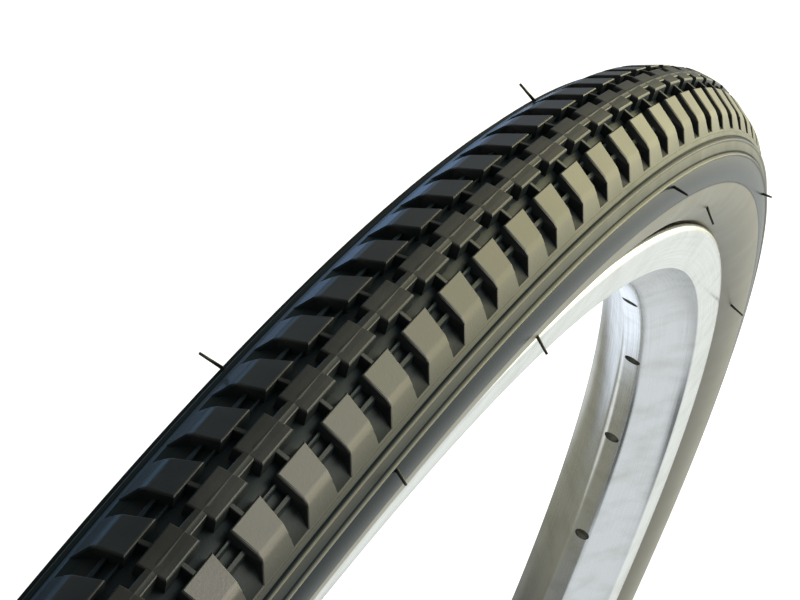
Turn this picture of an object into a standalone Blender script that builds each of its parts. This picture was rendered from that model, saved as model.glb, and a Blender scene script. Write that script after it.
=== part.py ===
"""Bicycle tyre on its bare alloy rim, with its inner tube, rim tape and car-type valve.

Metres, +Z up. The wheel's centre is the origin, it turns about Y, and the valve stands at -X with its
tip towards the centre. Ring sections are lists of (radius, across) points.
"""
from math import asin, atan2, cos, pi, radians, sin, sqrt

import bmesh
import bpy
from mathutils import Matrix, Vector

# Tyre outside
BEAD_SEAT_RADIUS = 0.311
TYRE_HEIGHT = 0.035
TYRE_WIDTH = 0.0333
WIDEST_DEPTH = 0.0169
CASING_CROWN_DEPTH = 0.0014

# Tread pattern
PITCH_COUNT = 168
TREAD_PHASE = radians(1.513)
BAND_WIDTH = 0.0050
GROOVE_DEPTH = 0.0020
EDGE_ANGLE = radians(49.18)
BLOCK_LENGTH = 0.0083
BLOCK_INNER = 0.0047
BLOCK_INNER_DEPTH = 0.0009
BLOCK_OUTER = 0.0099
BLOCK_OUTER_DEPTH = 0.0038

# Tyre layers
UNDERTREAD = 0.0008
BREAKER = 0.0007
BREAKER_WIDTH = 0.0172
SIDEWALL = 0.0012
PLY = 0.0006
CHAFER = 0.0006
BEAD_WIRE = 0.0016
RIB_ANGLES = (radians(53.6), radians(63.0))
RIB_WIDTH = 0.0010
RIB_HEIGHT = 0.0004

# Inner tube
TUBE_WALL = 0.0010
TUBE_TAPER = 0.0002

# Rim
RIM_WIDTH = 0.0276
RIM_INSIDE = 0.0226
RIM_WAIST = 0.0256
FLANGE_HEIGHT = 0.0065
SIDE_FACE_HEIGHT = 0.0096
SEAT_WIDTH = 0.0053
BED_DEPTH = 0.0112
BED_WIDTH = 0.0056
RIM_WALL = 0.0020
SPOKE_COUNT = 36
SPOKE_HOLE_RADIUS = 0.0021
SPOKE_STAGGER = 0.0004
TAPE_WIDTH = 0.0080
TAPE = 0.0007

# Valve
STEM_RADIUS = 0.00385
STEM_BORE = 0.00265
STEM_REACH = 0.0270
STEM_INSIDE = 0.0010
PATCH = 0.0016
PATCH_LENGTH = 0.0260
BARREL_LENGTH = 0.0120
BARREL_WALL = 0.0006
BARREL_SHOULDER = 0.0020
BARREL_DEPTH = 0.0004
PIN_RADIUS = 0.0008
PIN_PLAY = 0.0001
PIN_COLLAR = 0.0014
PIN_COLLAR_DEPTH = 0.0012
PIN_COLLAR_LENGTH = 0.0008
PIN_TAIL = 0.0026
CUP_RADIUS = 0.0021
CUP_LENGTH = 0.0016
SPRING_WIRE = 0.0005
SPRING_TURNS = 4
CAP_WALL = 0.0011
CAP_END = 0.0012
CAP_SKIRT = 0.0075
CAP_CHAMFER = 0.0007
GASKET = 0.0007

# Fits and facets
GAP = 0.0003
RING_STEPS = 34
VALVE_STEPS = 16
BEAD_SIDES = 6
HOLE_SIDES = 8
SPRING_POINTS = 8
MERGE = 0.00001

# Places worked out from the sizes above
CROWN_RADIUS = BEAD_SEAT_RADIUS + TYRE_HEIGHT
CENTRE_RADIUS = CROWN_RADIUS - WIDEST_DEPTH
FLANGE_RADIUS = BEAD_SEAT_RADIUS + FLANGE_HEIGHT
BED_RADIUS = BEAD_SEAT_RADIUS - BED_DEPTH
FLOOR_RADIUS = BED_RADIUS + RIM_WALL
WELL_HALF = RIM_INSIDE / 2 - SEAT_WIDTH
FACET_SHARE = cos(pi / RING_STEPS)

# Bead stack, from the rim's flange inwards
BEAD_FACE = RIM_INSIDE / 2 - GAP
OUTER_PLY_LEG = BEAD_FACE - CHAFER - GAP
WIRE_OUTSIDE = OUTER_PLY_LEG - PLY - GAP
INNER_PLY_LEG = WIRE_OUTSIDE - BEAD_WIRE - GAP
CHAFER_LEG = INNER_PLY_LEG - PLY - GAP
TUBE_NECK = CHAFER_LEG - CHAFER - GAP
CHAFER_FOOT = BEAD_SEAT_RADIUS + GAP
PLY_FOOT = CHAFER_FOOT + CHAFER + GAP
KNEE_RADIUS = PLY_FOOT + BEAD_WIRE + GAP

# Ovals of the section: half width, rise above and drop below the widest part
SIDE_HALF = TYRE_WIDTH / 2
SIDE_DROP = (CENTRE_RADIUS - FLANGE_RADIUS) / sqrt(1 - (BEAD_FACE / SIDE_HALF) ** 2)
SIDE_OVAL = (SIDE_HALF, WIDEST_DEPTH - CASING_CROWN_DEPTH, SIDE_DROP)
PLY_CROWN_DEPTH = GROOVE_DEPTH + UNDERTREAD + BREAKER + 2 * GAP
OUTER_PLY_OVAL = (SIDE_HALF - SIDEWALL - GAP, WIDEST_DEPTH - PLY_CROWN_DEPTH, SIDE_DROP - SIDEWALL - GAP)

# Angles round the section, from the crown
TREAD_EDGE = SIDE_HALF * sin(EDGE_ANGLE)
FLAT_ANGLE = EDGE_ANGLE / 2
BEAD_ANGLE = pi - asin(BEAD_FACE / SIDE_HALF)
MID_ANGLE = (EDGE_ANGLE + BEAD_ANGLE) / 2
HALF_STATIONS = (BEAD_ANGLE, MID_ANGLE, EDGE_ANGLE, FLAT_ANGLE)
STATIONS = HALF_STATIONS + tuple(-angle for angle in reversed(HALF_STATIONS))

# Valve places, as distances from the wheel's centre
TIP_RADIUS = BED_RADIUS * FACET_SHARE - STEM_REACH
SLOPE_RISE = TAPE_WIDTH / 2 - BED_WIDTH / 2 + (GAP + TAPE) * sqrt(2)
PATCH_FOOT = FLOOR_RADIUS + SLOPE_RISE + GAP
TUBE_FOOT = PATCH_FOOT + PATCH + GAP
STEM_HOLE = STEM_RADIUS + GAP
VALVE_TURN = pi / 2

for old in list(bpy.data.objects):
    bpy.data.objects.remove(old, do_unlink=True)

PARTS = bpy.data.collections.new("bicycle_tyre")
CUTTERS = bpy.data.collections.new("cutters")
for collection in (PARTS, CUTTERS):
    bpy.context.scene.collection.children.link(collection)


def finish(name, colour, roughness, metallic=0.0):
    """Make a plain shaded material."""
    material = bpy.data.materials.new(name)
    material.use_nodes = True
    shader = material.node_tree.nodes["Principled BSDF"]
    shader.inputs["Base Color"].default_value = (*colour, 1.0)
    shader.inputs["Roughness"].default_value = roughness
    shader.inputs["Metallic"].default_value = metallic
    return material


TREAD_RUBBER = finish("tread_rubber", (0.030, 0.029, 0.025), 0.55)
SIDE_RUBBER = finish("sidewall_rubber", (0.045, 0.044, 0.040), 0.65)
CORD_FABRIC = finish("cord_fabric", (0.22, 0.19, 0.13), 0.8)
BUTYL = finish("butyl_rubber", (0.020, 0.020, 0.021), 0.6)
BEAD_STEEL = finish("bead_steel", (0.45, 0.42, 0.36), 0.35, 1.0)
RIM_ALLOY = finish("satin_aluminium", (0.80, 0.81, 0.82), 0.28, 1.0)
TAPE_CLOTH = finish("rim_tape_cloth", (0.35, 0.33, 0.30), 0.85)
BRASS = finish("nickelled_brass", (0.72, 0.66, 0.48), 0.3, 1.0)
SPRING_STEEL = finish("spring_steel", (0.60, 0.60, 0.60), 0.3, 1.0)
CAP_PLASTIC = finish("cap_plastic", (0.022, 0.022, 0.023), 0.4)


def place(name, mesh, material, collection=PARTS):
    """Put a mesh into the scene as one named object."""
    piece = bpy.data.objects.new(name, mesh)
    collection.objects.link(piece)
    piece.data.materials.append(material)
    return piece


def clockwise(profile):
    """Return the profile running down its outer side, as a turned shape needs."""
    area = 0.0
    for (r0, a0), (r1, a1) in zip(profile, profile[1:] + profile[:1]):
        area += r0 * a1 - r1 * a0
    return profile[::-1] if area > 0 else profile


def turned(name, profile, material, steps, start=0.0):
    """Turn a closed (radius, height) profile about the object's own Z axis."""
    points = [Vector((radius * cos(start), radius * sin(start), height))
              for radius, height in clockwise(profile)]
    edges = [(i, (i + 1) % len(points)) for i in range(len(points))]
    mesh = bpy.data.meshes.new(name)
    mesh.from_pydata(points, edges, [])
    piece = place(name, mesh, material)
    screw = piece.modifiers.new("turn", "SCREW")
    screw.axis = "Z"
    screw.angle = 2 * pi
    screw.steps = steps
    screw.render_steps = steps
    screw.use_merge_vertices = True
    screw.merge_threshold = MERGE
    screw.use_smooth_shade = False
    return piece


def ring(name, profile, material):
    """Turn a (radius, across) section about the wheel's axis, with a flat facet at the valve."""
    piece = turned(name, profile, material, RING_STEPS, pi / RING_STEPS)
    piece.rotation_euler = (-pi / 2, 0.0, 0.0)
    return piece


def mirrored(profile, side):
    """Return the section on the left (+1) or right (-1) of the wheel."""
    return [(radius, across * side) for radius, across in profile]


def on_oval(oval, angle):
    """Return the (radius, across) point of an oval at an angle from the crown."""
    half, rise, drop = oval
    lift = rise if cos(angle) > 0 else drop
    return (CENTRE_RADIUS + lift * cos(angle), half * sin(angle))


def inset(oval, depth):
    """Return an oval a set distance inside another one."""
    return tuple(size - depth for size in oval)


def cut(piece, cutter):
    """Subtract a cutter from a piece."""
    boolean = piece.modifiers.new(cutter.name, "BOOLEAN")
    boolean.operation = "DIFFERENCE"
    boolean.object = cutter
    boolean.solver = "EXACT"


def rods(name, matrices, radius, length, sides):
    """Make one cutter of round rods, each along its matrix's Z axis."""
    shape = bmesh.new()
    for matrix in matrices:
        bmesh.ops.create_cone(shape, cap_ends=True, segments=sides, radius1=radius, radius2=radius,
                              depth=length, matrix=matrix)
    mesh = bpy.data.meshes.new(name)
    shape.to_mesh(mesh)
    shape.free()
    cutter = place(name, mesh, RIM_ALLOY, CUTTERS)
    cutter.hide_render = True
    cutter.display_type = "WIRE"
    return cutter


def block_corner(vertex, middle_angle):
    """Move one corner of a raised shoulder block from the groove floor to the block's top."""
    pitch_angle = 2 * pi / PITCH_COUNT
    share = BLOCK_LENGTH / (CROWN_RADIUS * pitch_angle)
    angle = atan2(vertex.co.y, vertex.co.x)
    swing = (angle - middle_angle + pi) % (2 * pi) - pi
    angle = middle_angle + swing * share
    side = 1.0 if vertex.co.z > 0 else -1.0
    inner = abs(vertex.co.z) < (BAND_WIDTH / 2 + TREAD_EDGE) / 2
    across = BLOCK_INNER if inner else BLOCK_OUTER
    radius = CROWN_RADIUS - (BLOCK_INNER_DEPTH if inner else BLOCK_OUTER_DEPTH)
    vertex.co = Vector((radius * cos(angle), radius * sin(angle), across * side))


def make_tread(tread_oval):
    """Make the tread band with its raised centre band and two rows of shoulder blocks."""
    band = BAND_WIDTH / 2
    floor = CROWN_RADIUS - GROOVE_DEPTH
    outer = [on_oval(SIDE_OVAL, EDGE_ANGLE), (floor, band), (CROWN_RADIUS, band)]
    inner = [on_oval(tread_oval, angle) for angle in (FLAT_ANGLE, EDGE_ANGLE)]
    half = outer[::-1] + inner[::-1]
    profile = half[::-1] + mirrored(half, -1)
    shape = bmesh.new()
    corners = [shape.verts.new((radius, 0.0, across)) for radius, across in profile]
    sides = [shape.edges.new((corners[i - 1], corners[i])) for i in range(len(corners))]
    bmesh.ops.rotate(shape, verts=corners, cent=(0, 0, 0), matrix=Matrix.Rotation(TREAD_PHASE, 3, "Z"))
    bmesh.ops.spin(shape, geom=corners + sides, axis=(0, 0, 1), cent=(0, 0, 0), angle=2 * pi,
                   steps=PITCH_COUNT)
    bmesh.ops.remove_doubles(shape, verts=shape.verts, dist=MERGE)
    bmesh.ops.recalc_face_normals(shape, faces=shape.faces)
    shoulders = [face for face in shape.faces
                 if {round(abs(v.co.z) - band, 5) == 0 for v in face.verts} == {True, False}
                 and max(abs(v.co.z) for v in face.verts) > BLOCK_OUTER]
    for face in bmesh.ops.extrude_discrete_faces(shape, faces=shoulders)["faces"]:
        middle = face.calc_center_median()
        for vertex in face.verts:
            block_corner(vertex, atan2(middle.y, middle.x))
    mesh = bpy.data.meshes.new("tread")
    shape.to_mesh(mesh)
    shape.free()
    place("tread", mesh, TREAD_RUBBER).rotation_euler = (-pi / 2, 0.0, 0.0)


def make_breaker(outer_oval, inner_oval):
    """Make the fabric strip between the tread and the casing."""
    half = BREAKER_WIDTH / 2
    faces = []
    for oval in (outer_oval, inner_oval):
        flat = Vector(on_oval(oval, FLAT_ANGLE))
        edge = Vector(on_oval(oval, EDGE_ANGLE))
        end = flat.lerp(edge, (half - flat.y) / (edge.y - flat.y))
        faces.append([tuple(end), tuple(flat)])
    profile = faces[0] + mirrored(faces[0][::-1], -1) + mirrored(faces[1], -1) + faces[1][::-1]
    ring("breaker_strip", profile, CORD_FABRIC)


def make_ply(name, outer_oval, outer_legs, inner_legs):
    """Make one cord ply that runs from bead to bead."""
    outer_arc = [on_oval(outer_oval, angle) for angle in STATIONS]
    inner_arc = [on_oval(inset(outer_oval, PLY), angle) for angle in STATIONS]
    outer = outer_legs + outer_arc + mirrored(outer_legs[::-1], -1)
    inner = inner_legs + inner_arc + mirrored(inner_legs[::-1], -1)
    ring(name, outer + inner[::-1], CORD_FABRIC)


def make_sidewall(name, inner_oval, side):
    """Make the rubber of one side, from the tread's edge to the rim, with its two raised ribs."""
    start = EDGE_ANGLE + GAP / SIDE_HALF
    outer = [on_oval(SIDE_OVAL, start)]
    spread = RIB_WIDTH / 2 / SIDE_HALF
    for angle in RIB_ANGLES:
        outer.append(on_oval(SIDE_OVAL, angle - spread))
        outer.append(on_oval(inset(SIDE_OVAL, -RIB_HEIGHT), angle))
        outer.append(on_oval(SIDE_OVAL, angle + spread))
    for share in (0.35, 0.65, 1.0):
        outer.append(on_oval(SIDE_OVAL, RIB_ANGLES[-1] + (BEAD_ANGLE - RIB_ANGLES[-1]) * share))
    inner = [on_oval(inner_oval, angle) for angle in (start, MID_ANGLE, BEAD_ANGLE)]
    ring(name, mirrored(outer + inner[::-1], side), SIDE_RUBBER)


def make_chafer(name, side):
    """Make the rubbed strip that lines the rim under one bead."""
    top = FLANGE_RADIUS - GAP
    outer = [(top, BEAD_FACE), (CHAFER_FOOT, BEAD_FACE), (CHAFER_FOOT, CHAFER_LEG - CHAFER),
             (KNEE_RADIUS, CHAFER_LEG - CHAFER)]
    inner = [(KNEE_RADIUS, CHAFER_LEG), (CHAFER_FOOT + CHAFER, CHAFER_LEG),
             (CHAFER_FOOT + CHAFER, BEAD_FACE - CHAFER), (top, BEAD_FACE - CHAFER)]
    ring(name, mirrored(outer + inner, side), SIDE_RUBBER)


def make_bead_wire(name, side):
    """Make the steel hoop in one bead."""
    radius = BEAD_WIRE / 2
    centre = (PLY_FOOT + radius, WIRE_OUTSIDE - radius)
    turns = [2 * pi * i / BEAD_SIDES for i in range(BEAD_SIDES)]
    profile = [(centre[0] + radius * cos(t), centre[1] + radius * sin(t)) for t in turns]
    ring(name, mirrored(profile, side), BEAD_STEEL)


def make_tube(outer_oval, valve_hole):
    """Make the hollow inner tube, open only where the valve goes in."""
    outer = [(TUBE_FOOT, TUBE_NECK - TUBE_TAPER), (KNEE_RADIUS + GAP, TUBE_NECK)]
    inner = [(TUBE_FOOT + TUBE_WALL, TUBE_NECK - TUBE_TAPER - TUBE_WALL),
             (KNEE_RADIUS + GAP + TUBE_WALL / 2, TUBE_NECK - TUBE_WALL)]
    outer += [on_oval(outer_oval, angle) for angle in HALF_STATIONS]
    inner += [on_oval(inset(outer_oval, TUBE_WALL), angle) for angle in HALF_STATIONS]
    loops = [half + mirrored(half[::-1], -1) for half in (outer, inner)]
    tube = ring("inner_tube", loops[0], BUTYL)
    hollow = ring("tube_hollow", loops[1], BUTYL)
    PARTS.objects.unlink(hollow)
    CUTTERS.objects.link(hollow)
    hollow.hide_render = True
    hollow.display_type = "WIRE"
    cut(tube, hollow)
    cut(tube, valve_hole)


def make_rim(valve_hole):
    """Make the single-wall rim with its spoke holes and valve hole."""
    bed = BED_WIDTH / 2
    outside = [(FLANGE_RADIUS, RIM_WIDTH / 2), (FLANGE_RADIUS - SIDE_FACE_HEIGHT, RIM_WAIST / 2),
               (BED_RADIUS, bed)]
    inside = [(FLANGE_RADIUS, RIM_INSIDE / 2), (BEAD_SEAT_RADIUS, RIM_INSIDE / 2),
              (BEAD_SEAT_RADIUS, WELL_HALF), (FLOOR_RADIUS + WELL_HALF - bed, WELL_HALF),
              (FLOOR_RADIUS, bed)]
    profile = outside + mirrored(outside[::-1], -1) + mirrored(inside, -1) + inside[::-1]
    rim = ring("rim", profile, RIM_ALLOY)
    matrices = []
    for index in range(SPOKE_COUNT):
        turn = Matrix.Rotation(2 * pi * (index + 0.5) / SPOKE_COUNT, 4, "Y")
        side = SPOKE_STAGGER if index % 2 else -SPOKE_STAGGER
        matrices.append(turn @ Matrix.Translation((0.0, side, -(BED_RADIUS + FLOOR_RADIUS) / 2)))
    holes = rods("spoke_holes", matrices, SPOKE_HOLE_RADIUS, 4 * RIM_WALL, HOLE_SIDES)
    cut(rim, holes)
    cut(rim, valve_hole)


def make_tape(valve_hole):
    """Make the strip that lies in the rim's well over the spoke holes."""
    bed = BED_WIDTH / 2
    corner = GAP * (sqrt(2) - 1)
    reach = TAPE_WIDTH / 2
    lower = [(FLOOR_RADIUS + reach - bed + GAP * sqrt(2), reach), (FLOOR_RADIUS + GAP, bed - corner)]
    top_corner = (GAP + TAPE) * (sqrt(2) - 1)
    upper = [(FLOOR_RADIUS + reach - bed + (GAP + TAPE) * sqrt(2), reach),
             (FLOOR_RADIUS + GAP + TAPE, bed - top_corner)]
    profile = upper + mirrored(upper[::-1], -1) + mirrored(lower, -1) + lower[::-1]
    cut(ring("rim_tape", profile, TAPE_CLOTH), valve_hole)


def make_patch(valve_hole):
    """Make the rubber base that joins the valve to the tube."""
    shape = bmesh.new()
    bmesh.ops.create_cube(shape, size=1.0)
    size = (PATCH_LENGTH, 2 * (WELL_HALF - 2 * GAP), PATCH)
    bmesh.ops.scale(shape, vec=size, verts=shape.verts)
    mesh = bpy.data.meshes.new("valve_patch")
    shape.to_mesh(mesh)
    shape.free()
    patch = place("valve_patch", mesh, BUTYL)
    patch.rotation_euler.y = VALVE_TURN
    patch.location.x = -(PATCH_FOOT + PATCH / 2 + BED_RADIUS * (FACET_SHARE - 1))
    cut(patch, valve_hole)


def make_valve(valve_axis):
    """Make the stem, the core, the cap and its gasket, with heights from the stem's tip."""
    base = TIP_RADIUS - (TUBE_FOOT * FACET_SHARE + TUBE_WALL + STEM_INSIDE)
    stem = [(STEM_RADIUS, 0.0), (STEM_RADIUS, base), (STEM_BORE, base), (STEM_BORE, 0.0)]
    barrel_radius = STEM_BORE - GAP
    chamber = barrel_radius - BARREL_WALL
    bore = PIN_RADIUS + PIN_PLAY
    top = -BARREL_DEPTH
    bottom = top - BARREL_LENGTH
    shoulder = bottom + BARREL_SHOULDER
    barrel = [(barrel_radius, top), (barrel_radius, bottom), (bore, bottom), (bore, shoulder),
              (chamber, shoulder), (chamber, top)]
    collar_top = -PIN_COLLAR_DEPTH
    collar_foot = collar_top - PIN_COLLAR_LENGTH
    tail = bottom - PIN_TAIL
    pin = [(0.0, -BARREL_DEPTH / 2), (PIN_RADIUS, -BARREL_DEPTH / 2), (PIN_RADIUS, collar_top),
           (PIN_COLLAR, collar_top), (PIN_COLLAR, collar_foot), (PIN_RADIUS, collar_foot),
           (PIN_RADIUS, tail), (0.0, tail)]
    cup_top = bottom - GAP
    cup = [(CUP_RADIUS, cup_top), (CUP_RADIUS, cup_top - CUP_LENGTH), (bore, cup_top - CUP_LENGTH),
           (bore, cup_top)]
    seat = GAP + GASKET + GAP
    cap_bore = STEM_RADIUS + GAP
    cap_radius = cap_bore + CAP_WALL
    cap = [(0.0, seat + CAP_END), (cap_radius - CAP_CHAMFER, seat + CAP_END),
           (cap_radius, seat + CAP_END - CAP_CHAMFER), (cap_radius, -CAP_SKIRT), (cap_bore, -CAP_SKIRT),
           (cap_bore, seat), (0.0, seat)]
    gasket = [(0.0, GAP + GASKET), (STEM_RADIUS, GAP + GASKET), (STEM_RADIUS, GAP), (0.0, GAP)]
    for name, profile, material in (("valve_stem", stem, BRASS), ("core_barrel", barrel, BRASS),
                                    ("core_pin", pin, BRASS), ("core_cup", cup, BUTYL),
                                    ("dust_cap", cap, CAP_PLASTIC), ("cap_gasket", gasket, BUTYL)):
        turned(name, profile, material, VALVE_STEPS).parent = valve_axis
    wire = SPRING_WIRE / 2
    make_spring(collar_foot - GAP - wire, shoulder + GAP + wire, PIN_RADIUS + GAP + wire, valve_axis)


def make_spring(top, bottom, radius, valve_axis):
    """Make the coil spring between the pin's collar and the barrel's shoulder."""
    curve = bpy.data.curves.new("core_spring", "CURVE")
    curve.dimensions = "3D"
    curve.bevel_depth = SPRING_WIRE / 2
    curve.bevel_resolution = 1
    curve.use_fill_caps = True
    count = SPRING_TURNS * SPRING_POINTS + 1
    path = curve.splines.new("POLY")
    path.points.add(count - 1)
    for index, point in enumerate(path.points):
        share = index / (count - 1)
        turn = 2 * pi * SPRING_TURNS * share
        point.co = (radius * cos(turn), radius * sin(turn), top + (bottom - top) * share, 1.0)
    place("core_spring", curve, SPRING_STEEL).parent = valve_axis


def main():
    """Build every piece of the tyre, the rim and the valve."""
    sidewall_lining = inset(OUTER_PLY_OVAL, -GAP)
    half, rise, drop = sidewall_lining
    tread_lining = (half, rise + BREAKER + GAP, drop)
    inner_ply_oval = inset(OUTER_PLY_OVAL, PLY + GAP)
    tube_oval = inset(inner_ply_oval, PLY + GAP)

    make_tread(tread_lining)
    make_breaker(inset(tread_lining, GAP), sidewall_lining)
    make_ply("casing_outer_ply", OUTER_PLY_OVAL, [(PLY_FOOT, OUTER_PLY_LEG)],
             [(PLY_FOOT, OUTER_PLY_LEG - PLY)])
    make_ply("casing_inner_ply", inner_ply_oval,
             [(PLY_FOOT, INNER_PLY_LEG), (KNEE_RADIUS, INNER_PLY_LEG)],
             [(PLY_FOOT, INNER_PLY_LEG - PLY), (KNEE_RADIUS, INNER_PLY_LEG - PLY)])
    for word, side in (("left", 1), ("right", -1)):
        make_sidewall("sidewall_" + word, sidewall_lining, side)
        make_chafer("chafer_" + word, side)
        make_bead_wire("bead_wire_" + word, side)

    hole_length = TUBE_FOOT - BED_RADIUS + 4 * RIM_WALL
    hole_centre = (TUBE_FOOT + BED_RADIUS) / 2 - RIM_WALL
    hole_place = Matrix.Rotation(VALVE_TURN, 4, "Y") @ Matrix.Translation((0.0, 0.0, -hole_centre))
    valve_hole = rods("valve_hole", [hole_place], STEM_HOLE, hole_length, VALVE_STEPS)
    make_tube(tube_oval, valve_hole)
    make_rim(valve_hole)
    make_tape(valve_hole)
    make_patch(valve_hole)

    valve_axis = bpy.data.objects.new("valve_axis", None)
    valve_axis.location.x = -TIP_RADIUS
    valve_axis.rotation_euler.y = VALVE_TURN
    PARTS.objects.link(valve_axis)
    make_valve(valve_axis)


main()
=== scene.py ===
"""Dresses a bicycle tyre on its bare alloy rim: tread, sidewalls, casing, tube, rim and valve.

Metres, +Z up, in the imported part's own frame: the wheel turns about Y and the valve stands at -X.
Ring sections are points (across, radius) in millimetres, with across positive on the left. Angles round
the wheel run from +Z towards +X, and angles round the tyre's section run from the crown towards a side.
"""

import logging
from collections.abc import Callable, Sequence
from dataclasses import dataclass
from enum import Enum
from math import atan2, cos, degrees, hypot, pi, radians, sin
from typing import Any

import bmesh
import bpy
from bpy.types import Material, Mesh, Node, NodeSocket, NodeTree, Object
from mathutils import Euler, Matrix, Vector


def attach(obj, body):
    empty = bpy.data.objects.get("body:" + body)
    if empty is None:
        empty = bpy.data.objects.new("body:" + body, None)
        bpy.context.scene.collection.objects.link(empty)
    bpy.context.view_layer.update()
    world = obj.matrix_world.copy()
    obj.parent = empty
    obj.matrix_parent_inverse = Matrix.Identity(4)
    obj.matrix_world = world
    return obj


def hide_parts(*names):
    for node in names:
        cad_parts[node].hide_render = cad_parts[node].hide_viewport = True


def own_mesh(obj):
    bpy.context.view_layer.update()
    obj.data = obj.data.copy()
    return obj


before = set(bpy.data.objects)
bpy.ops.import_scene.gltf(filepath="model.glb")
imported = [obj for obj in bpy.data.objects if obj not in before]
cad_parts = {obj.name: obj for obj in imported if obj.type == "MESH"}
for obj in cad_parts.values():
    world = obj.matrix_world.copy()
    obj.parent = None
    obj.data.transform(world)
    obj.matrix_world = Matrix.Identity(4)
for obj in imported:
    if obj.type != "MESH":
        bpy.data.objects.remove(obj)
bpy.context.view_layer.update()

LOG = logging.getLogger("bicycle_tyre")
MM = 0.001
ROUND_UV = "round_the_ring"
PAINTED_LIGHT = "painted_light"
LEAN = "lean"
REACH = "reach"
VALVE_TIP_MM = -271.521
# Points closer than this are one.
SAME_SPOT = 0.0005 * MM
# A wave texture draws about this many bands in one unit.
WAVE_BANDS = 3.15
# The faces of a box whose first four corners and last four corners are its two ends.
BOX_FACES = ((0, 1, 2, 3), (4, 5, 6, 7), (0, 1, 5, 4), (1, 2, 6, 5), (2, 3, 7, 6), (3, 0, 4, 7))

Point = tuple[float, float]
Spot = tuple[float, float, float]
Line = tuple[Point, ...]
Outline = list[Point]


class Side(Enum):
    """The two sides of the wheel, as the sign of the across axis."""

    LEFT = 1.0
    RIGHT = -1.0

    @property
    def word(self) -> str:
        """The side's word in the names of pieces."""
        return self.name.lower()

    def mirror(self, outline: Sequence[Point]) -> Outline:
        """An outline of the left side, as it lies on this side."""
        return [(self.value * across, radius) for across, radius in outline]


class Body(Enum):
    """The bodies that pieces ride on."""

    WHEEL = "wheel"
    VALVE_PIN = "valve_pin"
    CAP_WASHER = "cap_washer"
    CAP = "cap"


class Slot(Enum):
    """The record's material slots."""

    TREAD = "tread_rubber"
    SIDEWALL = "sidewall_rubber"
    CORD = "cord_fabric"
    BUTYL = "butyl_rubber"
    BEAD = "bead_steel"
    RIM = "satin_aluminium"
    TAPE = "rim_tape_cloth"
    BRASS = "nickelled_brass"
    SPRING = "spring_steel"
    CAP = "cap_plastic"


def linear(colour: str) -> tuple[float, float, float, float]:
    """Turn an sRGB hex colour into a linear one.

    Args:
        colour: A colour such as "#8a8a80".

    Returns:
        Red, green, blue and an alpha of one.
    """
    shares = [int(colour[i:i + 2], 16) / 255 for i in (1, 3, 5)]
    red, green, blue = (s / 12.92 if s <= 0.04045 else ((s + 0.055) / 1.055) ** 2.4 for s in shares)
    return (red, green, blue, 1.0)


def feed(tree: NodeTree, node: Node, inputs: dict[str | int, Any]) -> None:
    """Link a node's inputs to nodes and sockets, and set the others to plain values.

    Args:
        tree: The tree that holds the node.
        node: The node to feed.
        inputs: By the input's name or place: a value, a socket, or a node for its first live output.
    """
    for key, value in inputs.items():
        if isinstance(value, Node):
            value = next(socket for socket in value.outputs if socket.enabled)
        if isinstance(value, NodeSocket):
            tree.links.new(value, node.inputs[key])
        else:
            node.inputs[key].default_value = value


def add_node(tree: NodeTree, kind: str, inputs: dict[str | int, Any] | None = None,
             **settings: Any) -> Node:
    """Add a node with its settings and links.

    Args:
        tree: The tree that gets the node.
        kind: The node's type name.
        inputs: What goes into it, as feed takes it.
        settings: Values of the node's own properties.

    Returns:
        The new node.
    """
    node = tree.nodes.new(kind)
    for key, value in settings.items():
        setattr(node, key, value)
    feed(tree, node, inputs or {})
    return node


def per_metre(size_mm: float) -> float:
    """A texture scale that repeats every size_mm millimetres on coordinates in metres."""
    return 1.0 / (size_mm * MM)


@dataclass(frozen=True)
class Finish:
    """A named material: plain values on its shader's sockets, and nodes where the surface varies."""

    name: str

    def sockets(self, tree: NodeTree) -> dict[str, Any]:
        """What goes into the shader's sockets, by their names, with its nodes added to the tree."""
        raise NotImplementedError

    def build(self) -> Material:
        """Make the material.

        Returns:
            The material.
        """
        material = bpy.data.materials.new(self.name)
        material.use_nodes = True
        tree = material.node_tree
        feed(tree, tree.nodes["Principled BSDF"], self.sockets(tree))
        return material


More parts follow.
